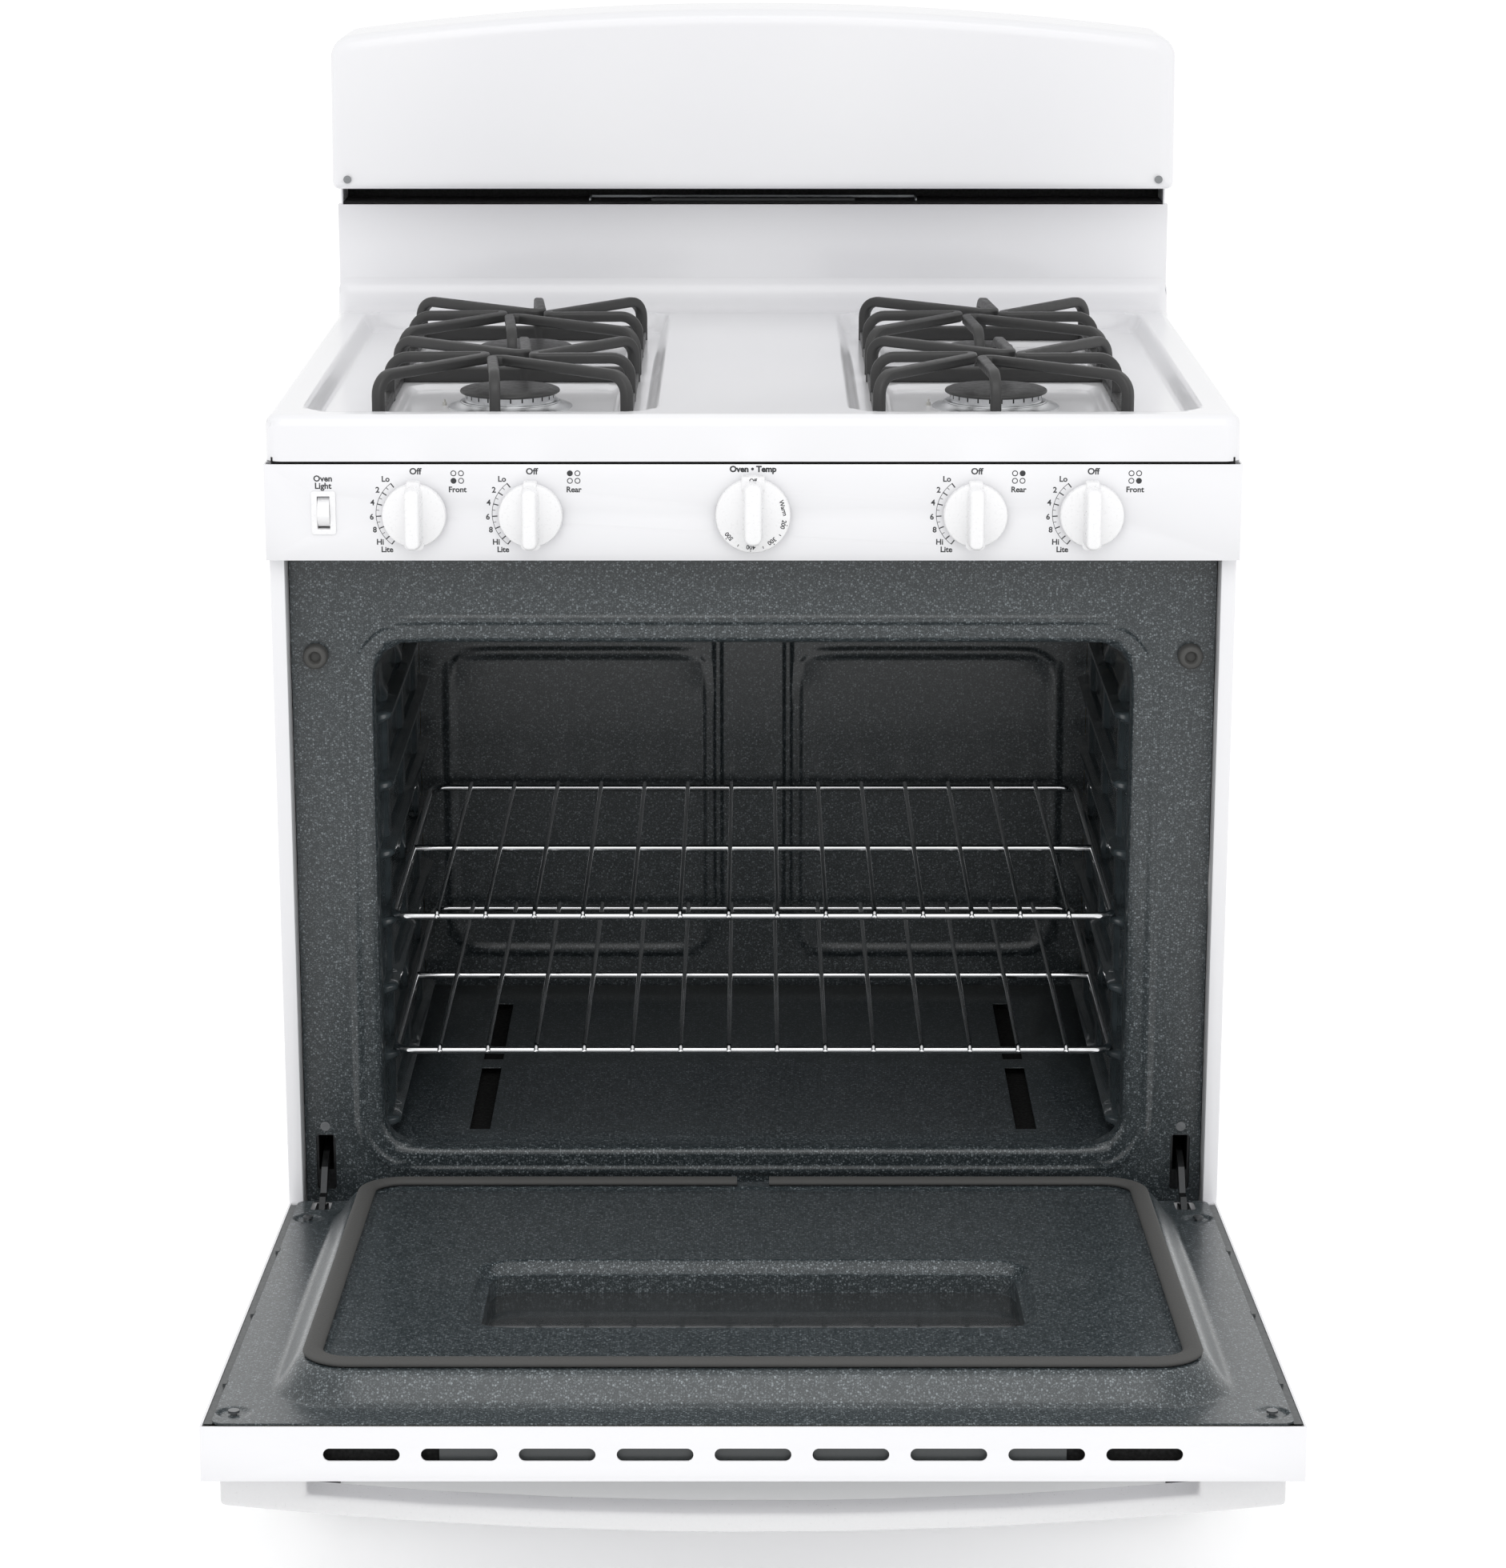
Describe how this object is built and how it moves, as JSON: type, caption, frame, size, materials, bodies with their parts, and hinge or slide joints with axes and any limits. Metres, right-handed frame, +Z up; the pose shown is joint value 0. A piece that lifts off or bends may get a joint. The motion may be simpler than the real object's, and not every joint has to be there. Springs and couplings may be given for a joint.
{
  "type": "freestanding gas range",
  "caption": "Freestanding household gas range with sealed burners, separate grates, turning knobs, a drop-down oven door, sliding wire racks and a storage drawer.",
  "frame": {"origin": "on the floor, at the centre of the box around the range with its oven door open", "axes": "+X to the right seen from the front, -Y out of the front, +Z up"},
  "size_m": [0.761, 1.1982, 1.1941],
  "materials": {
    "white_enamel": "gloss porcelain enamel",
    "white_plastic": "moulded, satin",
    "speckled_enamel": "gloss porcelain enamel, grey with fine light speckles",
    "grate_enamel": "matte black enamel",
    "chromed_wire": "bright plated wire",
    "cast_aluminium": "as cast",
    "galvanised_steel": "plain galvanised sheet",
    "plated_steel": "zinc plated",
    "valve_brass": "machined",
    "glass_fibre_rope": "braided, dark grey",
    "glass_wool": "matted blanket",
    "window_glass": "tinted, tempered",
    "lamp_glass": "clear bulb behind a glass cover",
    "foot_plastic": "moulded, black",
    "silicone_rubber": "soft, dark grey",
    "electrode_ceramic": "glazed white"
  },
  "bodies": {
    "range_body": {"side_panel_left": "white_enamel", "side_panel_right": "white_enamel", "back_panel": "galvanised_steel", "base_frame": "galvanised_steel", "leveling_feet": "foot_plastic", "front_frame": "speckled_enamel", "oven_liner_sides": "speckled_enamel", "oven_liner_top": "speckled_enamel", "oven_liner_back": "speckled_enamel", "oven_bottom": "speckled_enamel", "oven_burner": "galvanised_steel", "flame_spreader": "galvanised_steel", "oven_insulation": "glass_wool", "cooktop": "white_enamel", "splash_panel": "white_enamel", "backguard": "white_enamel", "vent_duct": "galvanised_steel", "control_panel": "white_enamel", "manifold_pipe": "galvanised_steel", "burner_valves": "valve_brass", "oven_thermostat": "galvanised_steel", "gas_regulator": "cast_aluminium", "burner_heads": "cast_aluminium", "burner_caps": "grate_enamel", "burner_tubes": "cast_aluminium", "spark_electrodes": "electrode_ceramic", "spark_module": "foot_plastic", "oven_lamp": "lamp_glass", "door_bumpers": "silicone_rubber", "hinge_receivers": "plated_steel", "hinge_claws": "plated_steel", "drawer_rails": "galvanised_steel", "frame_screws": "plated_steel", "switch_housing": "white_plastic"},
    "oven_door": {"door_pan": "white_enamel", "door_liner": "speckled_enamel", "door_glass": "window_glass", "door_gasket": "glass_fibre_rope", "door_handle": "white_enamel", "hinge_arms": "plated_steel", "door_insulation": "glass_wool", "door_screws": "plated_steel"},
    "valve_plug_body_1": {"valve_plug_1": "valve_brass"},
    "burner_knob_body_1": {"burner_knob_1": "white_plastic"},
    "valve_plug_body_2": {"valve_plug_2": "valve_brass"},
    "burner_knob_body_2": {"burner_knob_2": "white_plastic"},
    "valve_plug_body_3": {"valve_plug_3": "valve_brass"},
    "burner_knob_body_3": {"burner_knob_3": "white_plastic"},
    "valve_plug_body_4": {"valve_plug_4": "valve_brass"},
    "burner_knob_body_4": {"burner_knob_4": "white_plastic"},
    "thermostat_plug_body": {"thermostat_plug": "valve_brass"},
    "oven_knob_body": {"oven_knob": "white_plastic"},
    "light_switch_body": {"light_switch": "white_plastic"},
    "upper_rack_body": {"upper_rack": "chromed_wire"},
    "lower_rack_body": {"lower_rack": "chromed_wire"},
    "drawer_body": {"drawer": "white_enamel"},
    "grate_front_left_body": {"grate_front_left": "grate_enamel"},
    "grate_rear_left_body": {"grate_rear_left": "grate_enamel"},
    "grate_front_right_body": {"grate_front_right": "grate_enamel"},
    "grate_rear_right_body": {"grate_rear_right": "grate_enamel"}
  },
  "joints": [
    {"name": "door_hinge", "type": "hinge", "parent": "range_body", "child": "oven_door", "pos_m": [0, -0.0579, 0.2625], "axis": [1, 0, 0], "range_deg": [-85.6, 0]},
    {"name": "burner_knob_1_turn", "type": "hinge", "parent": "range_body", "child": "valve_plug_body_1", "pos_m": [-0.2635, -0.0354, 0.844], "axis": [0, -1, 0], "range_deg": [0, 147]},
    {"name": "burner_knob_1_push", "type": "slide", "parent": "valve_plug_body_1", "child": "burner_knob_body_1", "axis": [0, 1, 0], "range_m": [0, 0.003], "stiffness_N_per_m": 400, "springref_m": -0.001},
    {"name": "burner_knob_2_turn", "type": "hinge", "parent": "range_body", "child": "valve_plug_body_2", "pos_m": [-0.173, -0.0354, 0.844], "axis": [0, -1, 0], "range_deg": [0, 147]},
    {"name": "burner_knob_2_push", "type": "slide", "parent": "valve_plug_body_2", "child": "burner_knob_body_2", "axis": [0, 1, 0], "range_m": [0, 0.003], "stiffness_N_per_m": 400, "springref_m": -0.001},
    {"name": "burner_knob_3_turn", "type": "hinge", "parent": "range_body", "child": "valve_plug_body_3", "pos_m": [0.173, -0.0354, 0.844], "axis": [0, -1, 0], "range_deg": [0, 147]},
    {"name": "burner_knob_3_push", "type": "slide", "parent": "valve_plug_body_3", "child": "burner_knob_body_3", "axis": [0, 1, 0], "range_m": [0, 0.003], "stiffness_N_per_m": 400, "springref_m": -0.001},
    {"name": "burner_knob_4_turn", "type": "hinge", "parent": "range_body", "child": "valve_plug_body_4", "pos_m": [0.2635, -0.0354, 0.844], "axis": [0, -1, 0], "range_deg": [0, 147]},
    {"name": "burner_knob_4_push", "type": "slide", "parent": "valve_plug_body_4", "child": "burner_knob_body_4", "axis": [0, 1, 0], "range_m": [0, 0.003], "stiffness_N_per_m": 400, "springref_m": -0.001},
    {"name": "oven_knob_turn", "type": "hinge", "parent": "range_body", "child": "thermostat_plug_body", "pos_m": [0, -0.0354, 0.844], "axis": [0, -1, 0], "range_deg": [0, 235]},
    {"name": "oven_knob_push", "type": "slide", "parent": "thermostat_plug_body", "child": "oven_knob_body", "axis": [0, 1, 0], "range_m": [0, 0.003], "stiffness_N_per_m": 400, "springref_m": -0.001},
    {"name": "light_switch_rock", "type": "hinge", "parent": "range_body", "child": "light_switch_body", "pos_m": [-0.3345, -0.0519, 0.845], "axis": [1, 0, 0], "range_deg": [0, 12]},
    {"name": "upper_rack_slide", "type": "slide", "parent": "range_body", "child": "upper_rack_body", "axis": [0, -1, 0], "range_m": [0, 0.3]},
    {"name": "lower_rack_slide", "type": "slide", "parent": "range_body", "child": "lower_rack_body", "axis": [0, -1, 0], "range_m": [0, 0.3]},
    {"name": "drawer_slide", "type": "slide", "parent": "range_body", "child": "drawer_body", "axis": [0, -1, 0], "range_m": [0, 0.36]},
    {"name": "grate_front_left_lift", "type": "slide", "parent": "range_body", "child": "grate_front_left_body", "axis": [0, 0, 1], "range_m": [0, 0.12]},
    {"name": "grate_rear_left_lift", "type": "slide", "parent": "range_body", "child": "grate_rear_left_body", "axis": [0, 0, 1], "range_m": [0, 0.12]},
    {"name": "grate_front_right_lift", "type": "slide", "parent": "range_body", "child": "grate_front_right_body", "axis": [0, 0, 1], "range_m": [0, 0.12]},
    {"name": "grate_rear_right_lift", "type": "slide", "parent": "range_body", "child": "grate_rear_right_body", "axis": [0, 0, 1], "range_m": [0, 0.12]}
  ]
}
